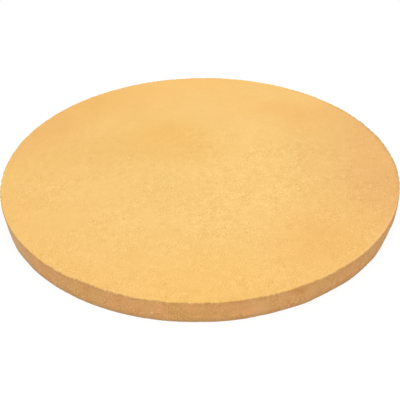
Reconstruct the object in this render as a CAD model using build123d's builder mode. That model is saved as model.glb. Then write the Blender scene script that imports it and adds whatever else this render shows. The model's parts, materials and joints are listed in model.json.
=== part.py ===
from build123d import *
import os
from math import radians, tan

# A round pizza stone: one slab of pressed, unglazed cordierite ceramic, fired in one piece.
#
# The frame is the slab's own. Z points up through the baking face, and the origin is the centre of
# the underside, where the slab lies on an oven rack or a grill grate. Lengths are in millimetres
# and angles in degrees.

# Driving dimensions
stone_diameter = 381.0  # 15 inches, at the corner between the baking face and the wall
stone_thickness = 21.0  # from the underside to the baking face
wall_draft = 1.0  # the wall leans in towards the underside, so that the pressed slab leaves its mould
baking_edge_radius = 1.2  # the upper rim, sponged round before firing
resting_edge_radius = 1.4  # the lower rim, sponged a little rounder, so that it slides on a rack

# Places that follow from them
baking_face_radius = stone_diameter / 2
wall_lean = stone_thickness * tan(radians(wall_draft))
underside_radius = baking_face_radius - wall_lean

# The slab, turned from half of its section about the vertical axis
with BuildPart() as pizza_stone:
    with BuildSketch(Plane.XZ):
        with BuildLine():
            Polyline(
                (0, 0),
                (underside_radius, 0),
                (baking_face_radius, stone_thickness),
                (0, stone_thickness),
                close=True,
            )
        make_face()
    revolve(axis=Axis.Z)

    # Its two sharp rims, rounded as they are on the soft clay
    baking_face = pizza_stone.faces().sort_by(Axis.Z)[-1]
    underside = pizza_stone.faces().sort_by(Axis.Z)[0]
    fillet(baking_face.edges(), radius=baking_edge_radius)
    fillet(underside.edges(), radius=resting_edge_radius)

pizza_stone.part.label = "pizza_stone"

os.makedirs("parts", exist_ok=True)
export_step(pizza_stone.part, "parts/pizza_stone.step")

slab = pizza_stone.part
widest = slab.bounding_box().size
print(f"pizza stone: {widest.X:.2f} mm across, {widest.Z:.2f} mm thick")
print(f"volume: {slab.volume / 1000:.1f} cm3, {len(slab.solids())} solid, valid: {slab.is_valid}")
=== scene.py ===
# %% [markdown]
# # A pizza stone in a white studio
#
# The object is one round slab of cordierite ceramic. A press squeezes damp, sandy clay into a
# shallow mould, a sponge softens the two rims, and the kiln turns it hard, pale and porous. It is
# never glazed.
#
# The CAD model already holds the size and the place of the slab. This lesson adds what the eye sees:
# rims that are worn and crumbled, a wall with pits, a sandy body with its firing colours, and soft
# light on a white floor. The slab and the camera are worked out in millimetres and turned to metres
# where Blender takes them, because its unit here is the metre. The paper and the lamp are large, so
# they are given in metres from the start.

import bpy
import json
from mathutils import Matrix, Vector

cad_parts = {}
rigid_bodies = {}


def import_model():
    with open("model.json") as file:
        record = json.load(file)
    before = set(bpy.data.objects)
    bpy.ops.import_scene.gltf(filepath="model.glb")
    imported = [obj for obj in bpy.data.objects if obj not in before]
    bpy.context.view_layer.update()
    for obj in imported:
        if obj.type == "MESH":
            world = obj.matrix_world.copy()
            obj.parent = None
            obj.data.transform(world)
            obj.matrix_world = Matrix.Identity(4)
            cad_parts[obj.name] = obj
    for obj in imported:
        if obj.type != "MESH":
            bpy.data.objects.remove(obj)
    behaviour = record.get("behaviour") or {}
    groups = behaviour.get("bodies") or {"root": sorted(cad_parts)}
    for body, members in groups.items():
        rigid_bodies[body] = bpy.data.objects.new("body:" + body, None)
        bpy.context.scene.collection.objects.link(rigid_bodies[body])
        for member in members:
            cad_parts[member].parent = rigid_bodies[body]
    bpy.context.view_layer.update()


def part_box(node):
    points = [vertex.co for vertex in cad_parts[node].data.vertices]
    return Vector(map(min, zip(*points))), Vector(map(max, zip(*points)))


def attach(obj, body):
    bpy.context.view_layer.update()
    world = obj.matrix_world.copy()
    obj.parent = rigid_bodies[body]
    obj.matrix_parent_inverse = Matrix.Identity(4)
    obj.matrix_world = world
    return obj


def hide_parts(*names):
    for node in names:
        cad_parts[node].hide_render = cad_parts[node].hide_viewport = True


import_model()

# %% [markdown]
# ## The slab's own sizes
#
# Width and height come from the CAD node, so the dressed slab can never drift away from it. The mesh
# of a circle is a polygon and its box is a hair smaller on one side than on another. The smallest of
# the four reaches is the radius that stays inside the box all round.

# %% Read the radius and the thickness
import math

mm = 0.001
low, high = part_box("pizza_stone")
slab_radius = min(high.x, -low.x, high.y, -low.y) / mm
slab_thickness = (high.z - low.z) / mm
print(f"slab: radius {slab_radius:.2f} mm, thickness {slab_thickness:.2f} mm")

# %% [markdown]
# ## The section
#
# Cut the slab from its centre to its wall and the cut face is a long thin bar with two rounded
# corners. A turned body needs only this outline. The wall leans in by one degree towards the
# underside, which lets the pressed clay leave its mould. Both rounds are drawn sharper than the rims
# look in the end, because the relief wears them further.
#
# The outline is a list of points, each with its radius, its height and the direction that the
# surface faces there. That direction is kept because pits and hollows are pushed straight in.

# %% Round a corner of the section
wall_draft = math.radians(1.0)
baking_edge_radius = 0.9
resting_edge_radius = 0.65


def corner_round(centre, radius, start, end, steps):
    """Points on a round of the section, with the way they face; angles are in radians."""
    angles = [start + (end - start) * step / steps for step in range(steps + 1)]
    return [
        (
            centre[0] + radius * math.cos(angle),
            centre[1] + radius * math.sin(angle),
            math.cos(angle),
            math.sin(angle),
        )
        for angle in angles
    ]


print(f"rounds: {baking_edge_radius} mm at the upper rim, {resting_edge_radius} mm at the lower")

# %% Place the two rounds and the wall between them
upper_steps, lower_steps = 6, 5
upper_centre = (slab_radius - baking_edge_radius, slab_thickness - baking_edge_radius)
wall_reach = (
    upper_centre[0] * math.cos(wall_draft)
    - upper_centre[1] * math.sin(wall_draft)
    + baking_edge_radius
)  # how far the wall's line lies from the section's origin
lower_centre = (
    (wall_reach - resting_edge_radius * (1 - math.sin(wall_draft))) / math.cos(wall_draft),
    resting_edge_radius,
)
upwards, outwards, downwards = math.pi / 2, -wall_draft, -math.pi / 2
upper_round = corner_round(upper_centre, baking_edge_radius, upwards, outwards, upper_steps)
lower_round = corner_round(lower_centre, resting_edge_radius, outwards, downwards, lower_steps)

wall_step = 1.1
wall_top, wall_foot = upper_round[-1], lower_round[0]
wall_rows = round((wall_top[1] - wall_foot[1]) / wall_step)
wall = [
    tuple(upper + (lower - upper) * row / wall_rows for upper, lower in zip(wall_top, wall_foot))
    for row in range(1, wall_rows)
]
print(f"section: {len(upper_round)} + {len(wall)} + {len(lower_round)} points from face to face")

# %% [markdown]
# ## Rings of points
#
# A lathe, or Blender's Screw modifier, gives every ring the same number of points, which crowds
# thousands of them at the centre where nothing happens. Here the number of points follows the need:
# 1536 on the rims and the wall, one for every 0.8 mm, because the relief is there, and then fewer
# and fewer towards the centre of the two flat faces. Each number is half the one before it, so that
# neighbouring rings still fit together point by point.

# %% Choose the rings from the centre of the face to the centre of the underside
rim_band_width = 8.0
rim_band = slab_radius - rim_band_width  # the inner radius of the band with the finest points
band_step, face_step = 1.1, 3.0  # from ring to ring in that band and inside it
fan_radius = 2 * face_step  # inside it there are no rings, only triangles to the centre
hair = 1e-6  # so that a ring right on the border of a band counts as inside it
ring_bands = [
    (rim_band, 1536),
    (rim_band - face_step, 768),
    (rim_band / 2, 384),
    (rim_band / 4, 192),
    (0.0, 96),
]  # the inner radius of each band and the points on its rings


def points_on(radius):
    """How many points the ring of that radius has."""
    return next(points for inner_radius, points in ring_bands if radius >= inner_radius - hair)


def face_rings(edge_radius):
    """Radii of the rings on a flat face, from near its centre to where its rounded rim begins."""
    inner_count = round(rim_band / face_step)
    band_count = round((edge_radius - rim_band) / band_step)
    inner = [rim_band * (ring + 1) / inner_count for ring in range(inner_count - 1)]
    band = [
        rim_band + (edge_radius - rim_band) * ring / band_count for ring in range(band_count)
    ]
    return [radius for radius in inner if radius > fan_radius] + band


section = [(radius, slab_thickness, 0.0, 1.0) for radius in face_rings(upper_centre[0])]
section += upper_round + wall + lower_round
section += [(radius, 0.0, 0.0, -1.0) for radius in reversed(face_rings(lower_centre[0]))]
ring_sizes = [points_on(radius) for radius, _, _, _ in section]
print(f"rings: {len(section)}, points: {sum(ring_sizes) + 2}")

# %% [markdown]
# ## Faces between the rings
#
# Two rings with as many points are joined by four-sided faces. Where one has twice as many, each step
# of the smaller ring takes three triangles. The two centres are closed by a fan. Blender can bridge
# edge loops by itself, but each loop has to be picked out first, and a short function can say just as
# well which points meet.

# %% Join one ring to the next


def join(first, first_size, second, second_size):
    """Faces from one ring to the next; first and second are the numbers of their first points."""
    faces = []
    steps = min(first_size, second_size)
    fine_size = max(first_size, second_size)
    for step in range(steps):
        here, there = step, (step + 1) % steps
        if first_size == second_size:
            faces.append((first + here, second + here, second + there, first + there))
            continue
        start, half, end = 2 * step, 2 * step + 1, (2 * step + 2) % fine_size
        if second_size > first_size:
            faces += [
                (first + here, second + start, second + half),
                (first + here, second + half, first + there),
                (first + there, second + half, second + end),
            ]
        else:
            faces += [
                (first + start, second + here, first + half),
                (first + half, second + here, second + there),
                (first + half, second + there, first + end),
            ]
    return faces


print("a ring of 96 points to one of 192 takes", len(join(0, 96, 96, 192)), "triangles")

# %% Join all the rings and close the two centres
ring_starts = [0]
for size in ring_sizes[:-1]:
    ring_starts.append(ring_starts[-1] + size)
slab_faces = []
for ring in range(len(section) - 1):
    slab_faces += join(
        ring_starts[ring], ring_sizes[ring], ring_starts[ring + 1], ring_sizes[ring + 1]
    )

last_start = ring_starts[-1]
face_centre = last_start + ring_sizes[-1]
underside_centre = face_centre + 1
for step in range(ring_sizes[0]):
    slab_faces.append((face_centre, step, (step + 1) % ring_sizes[0]))
for step in range(ring_sizes[-1]):
    step_after = (step + 1) % ring_sizes[-1]
    slab_faces.append((underside_centre, last_start + step_after, last_start + step))
print(f"faces: {len(slab_faces)}")

# %% [markdown]
# ## Where each point is before the relief
#
# One row per point: its radius, height and angle, and the way that the section faces there. A loop
# over the points of a Blender mesh would do too, but NumPy handles all of them at once, and each kind
# of wear can then be written in a few lines.

# %% Lay the points out
import numpy as np

point_rows = []
for (radius, height, facing_out, facing_up), size in zip(section, ring_sizes):
    for step in range(size):
        point_rows.append((radius, height, facing_out, facing_up, 2 * math.pi * step / size))
point_rows.append((0.0, slab_thickness, 0.0, 1.0, 0.0))
point_rows.append((0.0, 0.0, 0.0, -1.0, 0.0))
radii, heights, facing_outs, facing_ups, angles = np.array(point_rows).T
cosines, sines = np.cos(angles), np.sin(angles)
plain_points = np.stack([radii * cosines, radii * sines, heights], axis=1)
rim_spots = np.stack([slab_radius * cosines, slab_radius * sines, 0 * heights], axis=1)
near_rim = radii > rim_band
print(f"points: {len(plain_points)}, of which in the fine band: {near_rim.sum()}")

# %% [markdown]
# ## Relief: what the sponge, the kiln and the years take away
#
# Fired clay never gains material, it only loses some, so all the relief is a loss from the ideal
# surface. That also keeps the slab inside the CAD model's box. Five things make it: rims that wander
# because a hand sponged them, stretches where the lower rim is worn down, nicks and chips where the
# slab was knocked, stretches where the wall stands back a little, and a skin with pits where coarse
# grains fell out and with faces that are flat to about a tenth of a millimetre and no better.
#
# Blender's Displace modifier could do this too, with a painted vertex group for each kind of wear.
# Code can say "only near this rim" and "only here" without painting.

# %% Smooth noise at each point
from mathutils import Vector, noise

seed_shift = Vector((31.7, 17.3, 7.9))


def waves(points, layers, seed):
    """Smooth noise in layers; each layer has a lump size and a depth, both in millimetres."""
    total = np.zeros(len(points))
    for number, (size, depth) in enumerate(layers.items()):
        shift = seed_shift * (seed + number)
        total += [depth * noise.noise(Vector(point) / size + shift) for point in points]
    return total


print("noise 1 mm deep at the first two points:", waves(plain_points[:2], {5.0: 1.0}, seed=1))

# %% Let the rims wander
upper_layers = {19.0: 0.3, 6.5: 0.38, 2.8: 0.8}
lower_layers = {15.0: 0.3, 5.0: 0.35}
upper_base_loss, lower_base_loss = 0.09, -0.12
deepest_wander = 0.85

spots = rim_spots[near_rim]
upper_loss = np.zeros(len(radii))
lower_loss = np.zeros(len(radii))
upper_wander = upper_base_loss + waves(spots, upper_layers, seed=1)
lower_wander = lower_base_loss + waves(spots, lower_layers, seed=4)
upper_loss[near_rim] = np.clip(upper_wander, 0, deepest_wander)
lower_loss[near_rim] = np.clip(lower_wander, 0, deepest_wander)
print(f"rims wander by up to {upper_loss.max():.2f} and {lower_loss.max():.2f} mm")

# %% Pick out a stretch of the rim
fading, firm, sudden = 2, 4, 6  # how a stretch ends: the power in its exponent


def turned_from(degrees):
    """How far each point is turned from an angle, in radians between -pi and pi."""
    return (angles - math.radians(degrees) + math.pi) % (2 * math.pi) - math.pi


def stretch(middle, half_width, power=fading):
    """1 in the middle of a stretch of the rim, fading out to both sides; angles in degrees."""
    return np.exp(-((np.abs(turned_from(middle)) / math.radians(half_width)) ** power))


crisp_middle, crisp_half_width = 325.0, 17.0
crisp_stretch = stretch(crisp_middle, crisp_half_width)
print(f"crisp stretch: {crisp_stretch.min():.2f} to {crisp_stretch.max():.2f} round the rim")

# %% Spare some stretches of the upper rim
crisp_share = 0.75
spared_stretches = [
    (155.0, 42.0, 0.5),
    (70.0, 40.0, 0.25),
    (277.5, 4.5, 0.5),
]  # middle and half width in degrees, and the share of the wear that is spared
wear = 1 - crisp_share * crisp_stretch
for middle, half_width, share in spared_stretches:
    wear -= share * stretch(middle, half_width)
upper_loss *= wear
print(f"wear of the upper rim: {wear.min():.2f} to {wear.max():.2f} of the whole")

# %% Wear some stretches of the lower rim, and keep both losses near their rims
worn_stretches = [
    (207.5, 6.0, 0.4),
    (267.5, 4.5, 0.2),
    (287.0, 5.5, 0.33),
    (301.0, 4.5, 0.38),
    (317.0, 6.0, 0.2),
    (328.0, 7.0, 0.6),
]  # middle and half width in degrees, and depth
for middle, half_width, depth in worn_stretches:
    lower_loss += depth * stretch(middle, half_width, sudden) * near_rim

upper_reach, lower_reach = 1.9, 2.2  # how far from the corner the loss fades out
upper_corner = np.hypot(radii - slab_radius, heights - slab_thickness)
lower_corner = np.hypot(radii - lower_centre[0] - resting_edge_radius, heights)
upper_loss *= np.exp(-((upper_corner / upper_reach) ** 2))
lower_loss *= np.exp(-((lower_corner / lower_reach) ** 2))
print(f"deepest wear of the lower rim {lower_loss.max():.2f} mm")

# %% List the chips and roll the nicks
import random

chips = [
    (248.9, 3.6, 2.6, 0.5),
    (252.8, 4.0, 2.6, 0.5),
    (259.9, 3.6, 2.6, 0.6),
    (266.0, 5.5, 2.6, 0.8),
    (280.8, 2.6, 2.4, 1.1),
    (287.0, 9.0, 2.8, 0.5),
    (293.5, 7.0, 2.8, 0.9),
    (303.7, 3.6, 2.6, 0.6),
    (38.0, 8.0, 3.4, 0.5),
    (68.0, 7.0, 3.4, 0.6),
    (77.0, 5.0, 3.1, 0.5),
    (163.0, 7.0, 3.4, 0.4),
    (187.0, 6.0, 3.1, 0.4),
]  # angle in degrees, half length along the rim, reach across it and depth
nick_count = 300
nick_length, nick_reach, nick_depth = (0.7, 2.2), (1.0, 2.2), (0.2, 0.9)
dice = random.Random(5)  # seeded, so that every run rolls the same nicks
for _ in range(nick_count):
    sizes = [dice.uniform(*limits) for limits in (nick_length, nick_reach, nick_depth)]
    chips.append((dice.uniform(0, 360), *sizes))
print(f"chips and nicks: {len(chips)}")

# %% Knock them out of the upper rim
bowl_slope = 0.7
chipped = np.zeros(len(radii))
freshness = np.zeros(len(radii))
for chip_angle, half_length, reach, depth in chips:
    along = turned_from(chip_angle) * slab_radius / half_length
    across = upper_corner / reach
    bowl = np.clip(1 - along**2 - across**2, 0, 1) ** bowl_slope * near_rim
    chipped = np.maximum(chipped, bowl * depth)
    freshness = np.maximum(freshness, bowl * depth / half_length)
chipped *= wear
freshness *= wear
upper_loss = np.maximum(upper_loss, chipped)
print(f"deepest loss of the upper rim {upper_loss.max():.2f} mm")

# %% Set stretches of the wall back
set_back_width = 4.0  # how far they fade out on the face and the underside
set_back_stretches = [
    (248.9, 1.2, slab_thickness, 4.0, 0.9),
    (252.8, 1.3, slab_thickness, 4.0, 0.45),
    (259.9, 1.2, slab_thickness, 4.0, 0.65),
    (303.7, 1.2, slab_thickness, 4.0, 0.4),
    (243.0, 4.1, slab_thickness, 7.0, 1.3),
    (330.0, 15.0, slab_thickness, 3.5, 0.55),
    (328.5, 4.9, 3.0, 9.0, 0.8),
    (206.0, 4.5, 3.0, 9.0, 0.35),
]  # middle and half width in degrees, deepest height, how far it fades up or down, and depth
set_back = np.zeros(len(radii))
for middle, half_width, level, fade, depth in set_back_stretches:
    by_height = np.exp(-(((heights - level) / fade) ** 2))
    set_back += depth * stretch(middle, half_width, firm) * by_height
set_back *= np.exp(-(((slab_radius - radii) / set_back_width) ** 2))
print(f"set back by up to {set_back.max():.2f} mm")

# %% Pit the wall
wall_layers = {11.0: 0.25, 2.6: 0.2}
wall_base_loss = 0.07
on_wall = np.clip(facing_outs, 0, 1) ** 2
skin = np.zeros(len(radii))
wall_waves = waves(plain_points[near_rim], wall_layers, seed=6)
skin[near_rim] = np.clip(wall_base_loss + wall_waves, 0, None) * on_wall[near_rim]

pit_count = 520
pit_margin = 1.0
pit_size, pit_depth = (0.8, 1.7), (0.1, 0.5)
for _ in range(pit_count):
    pit_angle = dice.uniform(0, 360)
    pit_height = dice.uniform(pit_margin, slab_thickness - pit_margin)
    along = turned_from(pit_angle) * slab_radius
    away = np.hypot(along, heights - pit_height) / dice.uniform(*pit_size)
    skin += np.clip(1 - away**2, 0, 1) * dice.uniform(*pit_depth) * on_wall
print(f"wall pits: {pit_count}, deepest skin loss {skin.max():.2f} mm")

# %% Dish the faces
face_layers = {55.0: 0.12, 17.0: 0.04}
face_waves = np.clip(waves(plain_points, face_layers, seed=9), 0, None)
face_loss = face_waves * np.abs(facing_ups) * (radii < upper_centre[0])
skin += face_loss
print(f"faces: flat to {face_loss.max():.2f} mm")

# %% [markdown]
# ## The worn slab
#
# A knock on a rim comes from the side more than from above, so a rim loses more of its width than of
# its height. The skin is lost straight in. A sculpted mesh would hide these rules in its points, and
# here they stay two lines that can be read and changed.
#
# Five numbers are left on each point for the material: how much it belongs to the wall, how close
# under the upper rim it lies, for a painted shade there, how near it is to the crisp stretch of the
# rim's edge (masons call such an edge an arris), for a painted highlight along it, how fresh a nick
# is there, and how grey the rim is from hands.

# %% Push the points in
side_share, height_share = 1.0, 0.25
worn_radii = radii - skin * facing_outs - (upper_loss + lower_loss) * side_share - set_back
worn_heights = heights - skin * facing_ups - (upper_loss - lower_loss) * height_share
worn_points = np.stack([worn_radii * cosines, worn_radii * sines, worn_heights], axis=1) * mm
print(f"deepest loss of width {(radii - worn_radii).max():.2f} mm")

# %% Build the fired slab
import bpy

slab_mesh = bpy.data.meshes.new("fired_slab")
slab_mesh.from_pydata(worn_points.tolist(), [], slab_faces)
slab_mesh.validate()
slab_mesh.shade_smooth()
fired_slab = bpy.data.objects.new("fired_slab", slab_mesh)
bpy.context.scene.collection.objects.link(fired_slab)
triangles = sum(len(face) - 2 for face in slab_faces)
print(f"fired_slab: {len(slab_mesh.vertices)} points, {triangles} triangles")

# %% Leave the five numbers on its points
# The mark under the upper rim carries a painted shade.
rim_shade_reach, arris_highlight_reach, handled_reach = 2.6, 1.4, 2.8  # from the corner of the upper rim
# The arris mark is a painted highlight along the crisp stretch of the upper rim.
arris_highlight_strength = 0.6
handled_middle, handled_half_width = 12.0, 33.0
handled_stretch = stretch(handled_middle, handled_half_width, firm)
marks = {
    "wall_share": on_wall,
    "shade_under_rim": np.exp(-((upper_corner / rim_shade_reach) ** 2)) * on_wall,
    "arris_highlight": np.exp(-((upper_corner / arris_highlight_reach) ** 2)) * crisp_stretch * arris_highlight_strength,
    "freshness": freshness,
    "handled_rim": np.exp(-((upper_corner / handled_reach) ** 2)) * handled_stretch,
}
for name, values in marks.items():
    attribute = slab_mesh.attributes.new(name, "FLOAT", "POINT")
    attribute.data.foreach_set("value", values.astype(np.float32))
    print(f"{name}: up to {values.max():.2f}")

# %% Tie the slab to the frame
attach(fired_slab, "root")
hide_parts("pizza_stone")
print("fired_slab rides on root and stands for pizza_stone")

# %% [markdown]
# ## Two helpers for materials
#
# Colours are written as sRGB hex values, and shaders work on linear light, so one function turns the
# first into the second. The other adds a node with its settings and its links, and every node that
# this lesson adds is made with it. The same nodes could be placed by hand in the Shader Editor, and a
# reader who does that once will find each of them here by its name.

# %% Turn a hex value into linear light


def linear(hex_colour):
    """The linear colour of an sRGB hex value such as #F2C27A, with full alpha."""
    channels = [int(hex_colour[place : place + 2], 16) / 255 for place in (1, 3, 5)]
    straight = [c / 12.92 if c <= 0.04045 else ((c + 0.055) / 1.055) ** 2.4 for c in channels]
    return (*straight, 1.0)


print("middle grey in linear light", [round(channel, 3) for channel in linear("#808080")])

# %% Add a node


def add_node(tree, kind, inputs=(), **settings):
    """Adds a shader node. An input takes a plain value or the output that feeds it."""
    node = tree.nodes.new("ShaderNode" + kind)
    for name, value in settings.items():
        setattr(node, name, value)
    for socket, value in dict(inputs).items():
        if isinstance(value, bpy.types.NodeSocket):
            tree.links.new(value, node.inputs[socket])
        else:
            node.inputs[socket].default_value = value
    return node


# The Mix node holds number, vector and colour sockets under the same names, so the colour ones go
# by number.
SHARE, FIRST, SECOND, MIXED = 0, 6, 7, 2
print("colour sockets of the Mix node", (SHARE, FIRST, SECOND), "and its output", MIXED)

# %% [markdown]
# ## Unglazed pressed cordierite
#
# Cordierite bodies are mixed from fine clay and crushed grains that were fired before, up to about
# 1.5 mm. So the colour is never quite even: fine sand all over, open pores where gas came through,
# pale grains, and drifts of a hand's breadth that the flame left. The surface is bare, with no glaze,
# so it is about as rough as a surface gets, and its reflection is faint: an index of refraction near
# 1.54. Rough grains also send light back towards the lamp, which Diffuse Roughness gives.
#
# A picture of real ceramic could be wrapped round the slab, but it would stretch or show a seam where
# the face turns into the wall. Here every pattern fills the space in and around the slab, measured
# in millimetres on the slab itself, so a grain at the rim shows on both sides of it.

# %% Start the material
cordierite_ior, back_scatter = 1.54, 0.6
cordierite = bpy.data.materials.new("unglazed_pressed_cordierite")
cordierite.use_nodes = True
slab_mesh.materials.append(cordierite)
clay = cordierite.node_tree
bare_surface = clay.nodes["Principled BSDF"]
bare_surface.inputs["IOR"].default_value = cordierite_ior
bare_surface.inputs["Diffuse Roughness"].default_value = back_scatter
print(f"material {cordierite.name}: IOR {cordierite_ior}, diffuse roughness {back_scatter}")

# %% Measure it in millimetres and read the marks
object_place = add_node(clay, "TexCoord").outputs["Object"]
place = add_node(
    clay, "VectorMath", {0: object_place, "Scale": 1 / mm}, operation="SCALE"
).outputs["Vector"]
sides = add_node(clay, "SeparateXYZ", {"Vector": place}).outputs
wall_share, painted_rim_shade, painted_arris_highlight, fresh_break, handled = [
    add_node(clay, "Attribute", attribute_name=name).outputs["Fac"] for name in marks
]
print("marks that the material reads:", list(marks))

# %% [markdown]
# ### How sandy each place is
#
# The sand isn't spread evenly. Patches about 30 mm wide are sandier than their neighbours. The front
# right of the slab is sandier than the back left, the far half is calm, and the front edge is calmer
# again. The wall is sandier at its foot and calmer higher up. One noise with one strength would look
# printed, so each of these becomes a gain, and the fine sand, the pores and the grains are multiplied
# by all of them.

# %% Measure the patches
noise_middle = 0.5  # what a noise texture gives on average
patch_size = 30.0
patches = add_node(
    clay,
    "TexNoise",
    {"Vector": place, "Scale": 1 / patch_size, "Detail": 3.0, "Roughness": 0.8},
)
patch_range = {"From Min": 0.35, "From Max": 0.65, "To Min": 0.2, "To Max": 1.8}
gains = [add_node(clay, "MapRange", {"Value": patches.outputs["Fac"], **patch_range})]
print(f"patches {patch_size} mm wide, gain {patch_range['To Min']} to {patch_range['To Max']}")

# %% Measure the drifts across the slab
drift_lean = -0.7
drift = add_node(
    clay, "Math", {0: sides["X"], 1: drift_lean, 2: sides["Y"]}, operation="MULTIPLY_ADD"
).outputs[0]
drift_ranges = [
    (drift, -80.0, 100.0, 1.5, 0.72),
    (sides["Y"], 10.0, 70.0, 1.0, 0.49),
    (sides["Y"], -180.0, -60.0, 0.6, 1.08),
]  # what is measured, from and to in millimetres, and the gain at both ends
for measure, start, end, start_gain, end_gain in drift_ranges:
    drift_range = {"From Min": start, "From Max": end, "To Min": start_gain, "To Max": end_gain}
    gains.append(add_node(clay, "MapRange", {"Value": measure, **drift_range}))
print(f"drifts: {len(drift_ranges)}")

# %% Add the wall's own gain and multiply them all
even_gain = 1.0  # changes nothing
wall_range = {"From Min": 4.0, "From Max": 13.0, "To Min": 0.45, "To Max": -0.3}
surplus = add_node(clay, "MapRange", {"Value": sides["Z"], **wall_range}).outputs["Result"]
gains.append(
    add_node(clay, "Math", {0: surplus, 1: wall_share, 2: even_gain}, operation="MULTIPLY_ADD")
)
sandiness = even_gain
for gain in gains:
    sandiness = add_node(
        clay, "Math", {0: gain.outputs[0], 1: sandiness}, operation="MULTIPLY"
    ).outputs[0]
print(f"gains in the sandiness: {len(gains)}")

# %% [markdown]
# ### Fine sand
#
# The sand of such a body is 0.2 to 0.8 mm wide, finer than one pixel of a picture of the whole
# slab, so the finest layer is drawn coarser, at 1.1 mm, so that it shows. Coarser and fainter layers
# lie under it, up to the width of a thumb. One noise texture with much detail also has many layers,
# but their strengths can't be set one by one. The noise is taken in four dimensions, and each layer
# gets its own place in the fourth, so that no two layers line up.

# %% Mix the sand into one tone
sand_layers = {1.1: 2.3, 2.6: 0.42, 7.0: 0.68, 22.0: 0.38}  # lump size in millimetres and strength
finest_blotch = 10.0  # layers finer than this follow the sandiness
layer_shift = 10.0
tone = noise_middle
for number, (size, strength) in enumerate(sand_layers.items()):
    sand = add_node(
        clay,
        "TexNoise",
        {"Vector": place, "W": layer_shift * number, "Scale": 1 / size, "Detail": 1.0},
        noise_dimensions="4D",
    )
    swing = add_node(clay, "Math", {0: sand.outputs["Fac"], 1: noise_middle}, operation="SUBTRACT")
    if size < finest_blotch:
        swing = add_node(clay, "Math", {0: swing.outputs[0], 1: sandiness}, operation="MULTIPLY")
    tone = add_node(
        clay, "Math", {0: swing.outputs[0], 1: strength, 2: tone}, operation="MULTIPLY_ADD"
    ).outputs[0]
print("sand layers in millimetres", list(sand_layers))

# %% [markdown]
# ### Body colour
#
# The baking face fired to a warm straw yellow, and the wall fired rosier. Each has a darker and a
# paler clay, mixed by the same tone. Two materials with a hard border would be simpler, but the real
# colour turns gradually over the rounded rim, as the wall share does.

# %% Colour the face and the wall by the tone
face_clays = ("#E7BB69", "#F4CE81")
wall_clays = ("#DFA161", "#FDC98B")
fired_face, fired_wall = [
    add_node(
        clay, "Mix", {SHARE: tone, FIRST: linear(dark), SECOND: linear(pale)}, data_type="RGBA"
    ).outputs[MIXED]
    for dark, pale in (face_clays, wall_clays)
]
body = add_node(
    clay, "Mix", {SHARE: wall_share, FIRST: fired_face, SECOND: fired_wall}, data_type="RGBA"
).outputs[MIXED]
coats = []  # what goes over the body: a share, a colour, and how it is mixed
print("clays of the face", face_clays, "and of the wall", wall_clays)

# %% [markdown]
# ### Open pores and pale grains
#
# Voronoi cells are a good model for grains: each cell holds one, so that no two overlap. A sharp
# threshold on a noise would give ragged islands instead. Each cell also has a random colour, and its
# red part serves here as a lot that says how strongly that grain shows. Most are faint and a few are
# strong, as on the real slab.

# %% Scatter specks
strength_slope = 3.0  # the higher, the fewer specks are strong
speck_core = 0.2  # the share of a speck's radius that is at full strength


def scattered(spacing, share, width, shift):
    """Round specks, some faint and some strong, in a share of the cells; sizes in millimetres."""
    shifted = add_node(clay, "VectorMath", {0: place, 1: shift}, operation="ADD").outputs[0]
    cells = add_node(clay, "TexVoronoi", {"Vector": shifted, "Scale": 1 / spacing})
    lots = add_node(clay, "SeparateColor", {"Color": cells.outputs["Color"]}).outputs
    chance = add_node(
        clay, "MapRange", {"Value": lots["Red"], "From Min": share, "From Max": 0.0}
    ).outputs["Result"]
    strength = add_node(
        clay, "Math", {0: chance, 1: strength_slope}, operation="POWER"
    ).outputs[0]
    reach = width / 2 / spacing
    speck = add_node(
        clay,
        "MapRange",
        {"Value": cells.outputs["Distance"], "From Min": reach, "From Max": reach * speck_core},
    ).outputs["Result"]
    shown = add_node(clay, "Math", {0: speck, 1: strength}, operation="MULTIPLY").outputs[0]
    return add_node(clay, "Math", {0: shown, 1: sandiness}, operation="MULTIPLY").outputs[0]


speck_width = 1.7
pores = scattered(spacing=3.6, share=0.7, width=speck_width, shift=(5.0, 0.0, 0.0))
grains = scattered(spacing=3.2, share=0.8, width=speck_width, shift=(0.0, 9.0, 0.0))
coats += [(pores, "#D5A35E", "MIX"), (grains, "#FFE1A2", "MIX")]
print(f"specks: pores and pale grains, at most {speck_width} mm wide")

# %% [markdown]
# ### What the flame left
#
# In the kiln the flame licks some places more than others, and there the clay fires a shade deeper.
# These marks are soft and as wide as a hand. They could be painted by brush, but a list of places and
# tints is easier to change. The places are listed, and a slow noise bends them so that none is a
# circle. The whole slab also deepens a little towards its rim, which the heat reaches first.

# %% Bend the places of the flame marks
billow_size, billow_reach = 60.0, 50.0
noise_centre = (noise_middle, noise_middle, noise_middle)
across_only = (1.0, 1.0, 0.0)  # keeps X and Y and drops the height
flat_place = add_node(
    clay, "VectorMath", {0: place, 1: across_only}, operation="MULTIPLY"
).outputs[0]
billows = add_node(clay, "TexNoise", {"Vector": place, "Scale": 1 / billow_size, "Detail": 2.0})
billows = add_node(
    clay, "VectorMath", {0: billows.outputs["Color"], 1: noise_centre}, operation="SUBTRACT"
)
billows = add_node(
    clay, "VectorMath", {0: billows.outputs[0], "Scale": billow_reach}, operation="SCALE"
)
billowed_place = add_node(
    clay, "VectorMath", {0: flat_place, 1: billows.outputs[0]}, operation="ADD"
).outputs[0]
print(f"billows {billow_size} mm wide bend the places of the flame marks")

# %% Lick the slab with the flame


def soft_spot(where, centre, reach, strength):
    """A soft round spot: full strength at its centre, and nothing from its reach on."""
    away = add_node(clay, "VectorMath", {0: where, 1: centre}, operation="DISTANCE")
    return add_node(
        clay,
        "MapRange",
        {"Value": away.outputs["Value"], "From Min": reach, "From Max": 0.0, "To Max": strength},
        interpolation_type="SMOOTHSTEP",
    ).outputs["Result"]


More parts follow.
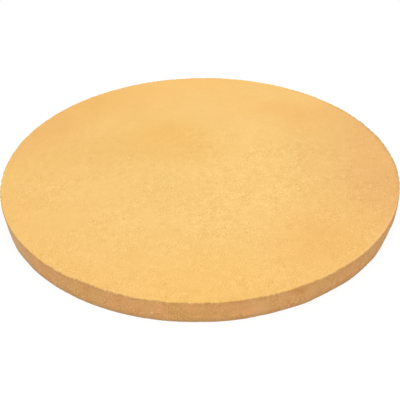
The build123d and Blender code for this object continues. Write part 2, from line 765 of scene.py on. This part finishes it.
flame_marks = [
    ((-32.0, 46.0, 0.0), 95.0, "#FAF2DE"),
    ((-108.0, 12.0, 0.0), 62.0, "#FBF6EE"),
    ((108.0, 30.0, 0.0), 60.0, "#FBF8F6"),
    ((-40.0, -40.0, 0.0), 60.0, "#FCFDFC"),
    ((185.0, -40.0, 0.0), 120.0, "#F7EDF2"),
    ((-130.0, 130.0, 0.0), 100.0, "#FBF2E4"),
    ((-50.0, 135.0, 0.0), 60.0, "#FFFBF7"),
    ((50.0, 110.0, 0.0), 60.0, "#FFFAF5"),
    ((110.0, 90.0, 0.0), 60.0, "#FDF3E9"),
    ((95.0, -125.0, 0.0), 60.0, "#FDF5EE"),
    ((0.0, -190.0, 0.0), 80.0, "#FFFFF5"),
    ((-178.0, 60.0, 0.0), 80.0, "#FAF3F0"),
    ((180.0, 62.0, 0.0), 80.0, "#F8F1F7"),
    ((0.0, 195.0, 0.0), 100.0, "#FFFAF2"),
]  # the centre and the reach in millimetres, and the tint at the centre
for centre, reach, tint in flame_marks:
    coats.append((soft_spot(billowed_place, centre, reach, strength=1.0), tint, "MULTIPLY"))
print(f"flame marks: {len(flame_marks)}")

# %% Deepen the slab towards its rim
even_radius = 100.0  # inside it the heat was even
from_axis = add_node(clay, "VectorMath", {0: flat_place}, operation="LENGTH").outputs["Value"]
rim_heat = add_node(
    clay, "MapRange", {"Value": from_axis, "From Min": even_radius, "From Max": slab_radius}
).outputs["Result"]
coats.append((rim_heat, "#FFFAF3", "MULTIPLY"))
print(f"the heat deepens the clay from {even_radius} mm outwards")

# %% [markdown]
# ### The wall's own marks
#
# The wall has patches a finger wide, some rosy and some yellow-brown, a few rust-coloured spots of
# iron near its foot, and a few single pale grains. At the front, three stretches just under the rim
# are painted browner as shade, and one broad patch is straw yellow. A pale painted reflection of
# the white surroundings lies on the left flank.
# The spots on the far side, which the photograph doesn't show, are rolled by the seeded dice in the
# same character.
#
# The underside and the lowest millimetres of the wall are painted darker and duller, as painted
# shade where the slab meets the floor, and a faint painted shade lies under the whole upper rim.
# The small nicks show a fresher, paler body, the crisp arris at the right carries a pale painted
# highlight, and next to it the rim is greyer, as hands leave it.
#
# Such marks are often painted on an unwrapped mesh. Here a spot is a soft ball around a point of the
# wall, and the other marks follow a noise, the height or a number on the mesh's own points, so there
# is nothing to unwrap.

# %% Patch the wall
wall_patch_size, wall_patch_shift = 16.0, 5.0  # the shift keeps them clear of the sand's layers
wall_patches = add_node(
    clay,
    "TexNoise",
    {"Vector": place, "W": wall_patch_shift, "Scale": 1 / wall_patch_size, "Detail": 1.0},
    noise_dimensions="4D",
)
brown_range = {"From Min": 0.35, "From Max": 0.65, "To Max": 0.5}
browner = add_node(
    clay, "MapRange", {"Value": wall_patches.outputs["Fac"], **brown_range}
).outputs["Result"]
brown_wall = add_node(clay, "Math", {0: browner, 1: wall_share}, operation="MULTIPLY").outputs[0]
coats.append((brown_wall, "#F1FCE3", "MULTIPLY"))
print(f"wall patches {wall_patch_size} mm wide")

# %% List the spots that the photograph shows
# The brown under the upper rim is painted shade.
iron, rim_shade_brown, straw, painted_flank_reflection = "#FFB45E", "#DE9C55", "#FFD093", "#F3E0CF"
pale_grain, sand_grain = "#FFF0D6", "#FFE2AE"
# The broad pale spot on the left flank is a painted reflection of the white surroundings.
wall_spots = [
    (292.5, 19.0, 11.0, rim_shade_brown, 0.8),
    (242.5, 18.5, 9.0, rim_shade_brown, 0.5),
    (304.0, 18.0, 14.0, rim_shade_brown, 0.3),
    (282.5, 9.0, 15.0, straw, 0.3),
    (215.0, 10.0, 45.0, painted_flank_reflection, 0.16),
    (243.2, 5.6, 3.8, iron, 0.5),
    (249.5, 7.4, 3.6, iron, 0.5),
    (253.8, 4.2, 3.0, iron, 0.5),
    (259.5, 4.2, 3.2, iron, 0.5),
    (280.6, 6.8, 3.4, iron, 0.7),
    (305.8, 7.2, 3.0, iron, 0.5),
    (314.8, 9.0, 3.0, iron, 0.5),
    (258.8, 8.2, 1.4, pale_grain, 1.0),
    (247.5, 10.4, 1.2, pale_grain, 0.7),
    (304.5, 8.0, 1.2, pale_grain, 0.6),
    (281.3, 15.8, 1.2, sand_grain, 0.5),
]  # angle in degrees, height, reach, colour and strength
print(f"spots on the near side: {len(wall_spots)}")

# %% Roll the spots of the far side
far_pairs = 9  # each is one spot of iron and one pale grain
far_angles, iron_heights, iron_reaches, iron_strength = (-20, 200), (3, 9), (2.5, 3.8), 0.5
grain_turns, grain_reach, grain_strength = (8, 16), 1.2, 0.7
grain_lift = 2  # times as high on the wall as the iron
for _ in range(far_pairs):
    iron_angle, iron_height = dice.uniform(*far_angles), dice.uniform(*iron_heights)
    wall_spots.append((iron_angle, iron_height, dice.uniform(*iron_reaches), iron, iron_strength))
    grain_angle, grain_height = iron_angle + dice.uniform(*grain_turns), grain_lift * iron_height
    wall_spots.append((grain_angle, grain_height, grain_reach, pale_grain, grain_strength))
print(f"spots on the whole wall: {len(wall_spots)}")

# %% Put the spots on the wall
for spot_angle, spot_height, reach, colour, strength in wall_spots:
    turn = math.radians(spot_angle)
    centre = (slab_radius * math.cos(turn), slab_radius * math.sin(turn), spot_height)
    spot = soft_spot(place, centre, reach, strength)
    on_the_wall = add_node(clay, "Math", {0: spot, 1: wall_share}, operation="MULTIPLY")
    coats.append((on_the_wall.outputs[0], colour, "MIX"))
print(f"coats so far: {len(coats)}")

# %% Paint shade on the foot, bare the nicks, and paint shade and a highlight on the upper rim
# The foot coat is painted shade: the underside and the lowest wall darken towards the floor.
foot_shade_height, foot_shade_strength = 6.0, 0.6
painted_foot_shade = add_node(
    clay,
    "MapRange",
    {"Value": sides["Z"], "From Min": foot_shade_height, "From Max": 0.0, "To Max": foot_shade_strength},
).outputs["Result"]
full_freshness, fresh_strength = 0.6, 0.9
fresh = add_node(
    clay, "MapRange", {"Value": fresh_break, "From Max": full_freshness, "To Max": fresh_strength}
).outputs["Result"]
# The foot and the line under the upper rim are painted shade, and the pale arris is a painted
# highlight.
coats += [
    (painted_foot_shade, "#C49C6C", "MIX"),
    (fresh, "#FFD890", "MIX"),
    (painted_rim_shade, "#F0EEE2", "MULTIPLY"),
    (painted_arris_highlight, "#FFC98F", "MIX"),
    (handled, "#E1E3FA", "MULTIPLY"),
]
print(f"the foot is rubbed up to {foot_shade_height} mm")

# %% Lay the coats over the body
for share, colour, way in coats:
    inputs = {SHARE: share, FIRST: body, SECOND: linear(colour)}
    body = add_node(clay, "Mix", inputs, data_type="RGBA", blend_type=way).outputs[MIXED]
clay.links.new(body, bare_surface.inputs["Base Color"])
print(f"coats over the body: {len(coats)}")

# %% [markdown]
# ### Roughness and grain
#
# The tops of the sand are a little smoother than the hollows between them, as use leaves them. The
# bump turns the tone and the pores into height: the sand stands about 0.05 mm proud and a pore is
# about 0.15 mm deep. So fine a grain would take millions of points in the mesh, and as bump it takes
# none, while all that shapes the outline is in the mesh already.

# %% Roughen the surface
hollow_roughness, top_roughness = 0.95, 0.85
roughness = add_node(
    clay, "MapRange", {"Value": tone, "To Min": hollow_roughness, "To Max": top_roughness}
)
clay.links.new(roughness.outputs["Result"], bare_surface.inputs["Roughness"])
print(f"roughness: {top_roughness} on the tops, {hollow_roughness} in the hollows")

# %% Grain the surface
pore_depth, sand_height = 0.15, 0.05
sunk = add_node(clay, "Math", {0: pores, 1: -pore_depth}, operation="MULTIPLY")
height = add_node(
    clay, "Math", {0: tone, 1: sand_height, 2: sunk.outputs[0]}, operation="MULTIPLY_ADD"
)
relief = add_node(clay, "Bump", {"Height": height.outputs[0], "Distance": mm})
clay.links.new(relief.outputs["Normal"], bare_surface.inputs["Normal"])
print("nodes in the material", len(clay.nodes))

# %% [markdown]
# ## Camera
#
# The photograph looks down on the slab from the front at arm's length. A camera could be turned by
# hand until the picture looks right, but the outline of a round slab is a known curve, so the place
# was found by fitting that outline to the picture. The lens is a normal one, 50 mm on a 36 mm frame.
# The camera aims at a point on the floor a little in front of the centre, and it leans about one
# degree.

# %% Set the camera
from mathutils import Quaternion

camera_place = Vector((0.0, -463.7, 318.4)) * mm
camera_aim = Vector((-0.2, -39.1, 0.0)) * mm
camera_lean = math.radians(-1.07)
lens_length, frame_width = 50, 36

camera_data = bpy.data.cameras.new("camera")
camera_data.lens = lens_length
camera_data.sensor_width = frame_width
camera = bpy.data.objects.new("camera", camera_data)
bpy.context.scene.collection.objects.link(camera)
bpy.context.scene.camera = camera
camera.location = camera_place
camera.rotation_mode = "QUATERNION"
view_turn = (camera_aim - camera_place).to_track_quat("-Z", "Y")
camera.rotation_quaternion = view_turn @ Quaternion((0, 0, 1), camera_lean)
print("camera", [round(c, 3) for c in camera_place], "aims at", [round(c, 3) for c in camera_aim])

# %% [markdown]
# ## White floor
#
# The slab lies on a large sheet of white paper. A picture for a catalogue shows that paper as pure
# white, and turning the lamps up until it is white would bleach the slab as well. So the paper shines
# by itself, but only for the rays that are seen: those from the camera, from gloss and through glass.
# For the light that bounces from it onto the slab it is plain matt paper.
#
# Close to the slab the seen paper is partly matt, which keeps the slab's soft shadow. Further out it
# fades to pure white, so that the paper has no visible end.

# %% Lay the paper
paper_size = 12.0
paper_mesh = bpy.data.meshes.new("studio_floor")
corner = paper_size / 2
paper_corners = [(x * corner, y * corner, 0) for x, y in ((-1, -1), (1, -1), (1, 1), (-1, 1))]
paper_mesh.from_pydata(paper_corners, [], [(0, 1, 2, 3)])
studio_floor = bpy.data.objects.new("studio_floor", paper_mesh)
bpy.context.scene.collection.objects.link(studio_floor)
print(f"studio_floor: {paper_size} m wide")

# %% Tell seen rays from the light's bounces


def seen_rays(tree):
    """1 for a ray from the camera, from gloss or through glass, and 0 for the light's bounces."""
    ray = add_node(tree, "LightPath").outputs
    seen = ray["Is Camera Ray"]
    for kind in ("Is Glossy Ray", "Is Transmission Ray"):
        seen = add_node(tree, "Math", {0: seen, 1: ray[kind]}, operation="MAXIMUM").outputs[0]
    return seen


white_paper = bpy.data.materials.new("white_background_paper")
white_paper.use_nodes = True
paper_mesh.materials.append(white_paper)
paper = white_paper.node_tree
paper.nodes.remove(paper.nodes["Principled BSDF"])
seen_by_eye = seen_rays(paper)
print("material", white_paper.name)

# %% Make the paper white where it is seen
shadow_share, shadow_glow, open_glow = 0.12, 0.905, 1.0
shadow_end = 0.45  # metres from the slab's axis
shadow_grey = (shadow_share, shadow_share, shadow_share, 1.0)

shaded = add_node(paper, "BsdfDiffuse", {"Color": shadow_grey})
glow = add_node(paper, "Emission", {"Strength": shadow_glow})
near_paper = add_node(paper, "AddShader", {0: shaded.outputs[0], 1: glow.outputs[0]})
far_paper = add_node(paper, "Emission", {"Strength": open_glow})
paper_place = add_node(paper, "TexCoord").outputs["Object"]
from_slab = add_node(paper, "VectorMath", {0: paper_place}, operation="LENGTH").outputs["Value"]
open_share = add_node(
    paper,
    "MapRange",
    {"Value": from_slab, "From Min": slab_radius * mm, "From Max": shadow_end},
    interpolation_type="SMOOTHSTEP",
).outputs["Result"]
seen_paper = add_node(
    paper, "MixShader", {0: open_share, 1: near_paper.outputs[0], 2: far_paper.outputs[0]}
)
print(f"the paper holds a shadow up to {shadow_end} m from the slab's axis")

# %% Keep it matt for the light's bounces
matt_white = "#D8D8D8"
bounce_paper = add_node(paper, "BsdfDiffuse", {"Color": linear(matt_white)})
whole_paper = add_node(
    paper,
    "MixShader",
    {0: seen_by_eye, 1: bounce_paper.outputs[0], 2: seen_paper.outputs[0]},
)
paper.links.new(whole_paper.outputs[0], paper.nodes["Material Output"].inputs["Surface"])
print("nodes in the paper", len(paper.nodes))

# %% [markdown]
# ## White surroundings
#
# The room's walls and ceiling send a soft, even light from all round, which fills the shadows and
# lights much of the slab's wall. A ring of lamps could do that too, but each lamp would draw a shadow
# of its own, while a plain world colour leaves only a soft shade along the foot of the slab. The same
# trick as on the paper shows the background as pure white and keeps this fill light at its own, lower
# strength.

# %% Fill the air with light
white = "#FFFFFF"
fill_strength, backdrop_strength = 0.33, 1.0
world = bpy.data.worlds.new("studio_air")
bpy.context.scene.world = world
world.use_nodes = True
air = world.node_tree
backdrop = air.nodes["Background"]
backdrop.inputs["Color"].default_value = linear(white)
backdrop.inputs["Strength"].default_value = backdrop_strength
fill = add_node(air, "Background", {"Color": linear(white), "Strength": fill_strength})
whole_air = add_node(
    air, "MixShader", {0: seen_rays(air), 1: fill.outputs[0], 2: backdrop.outputs[0]}
)
air.links.new(whole_air.outputs[0], air.nodes["World Output"].inputs["Surface"])
print("fill light", fill_strength)

# %% [markdown]
# ## The softbox
#
# The main light is one long softbox overhead that runs from front to back. It lights the baking face
# evenly along its length, falls off a little towards the left and right rims, and leaves the wall
# darker than the face, which is what makes the slab read as thick. A sun lamp would light the whole
# face alike and draw a hard shadow.

# %% Hang the softbox
softbox_place = (0.0, -0.05, 0.65)
softbox_width, softbox_length = 0.6, 3.0
softbox_power = 10.75

softbox_data = bpy.data.lights.new("overhead_softbox", "AREA")
softbox_data.shape = "RECTANGLE"
softbox_data.size, softbox_data.size_y = softbox_width, softbox_length
softbox_data.energy = softbox_power
softbox = bpy.data.objects.new("overhead_softbox", softbox_data)
bpy.context.scene.collection.objects.link(softbox)
softbox.location = softbox_place
print(f"softbox: {softbox_power} W at {softbox_place} m")

# %% [markdown]
# ## View
#
# The Standard view transform shows a colour as it was written.

# %% Set the view transform
import json

bpy.context.scene.view_settings.view_transform = "Standard"
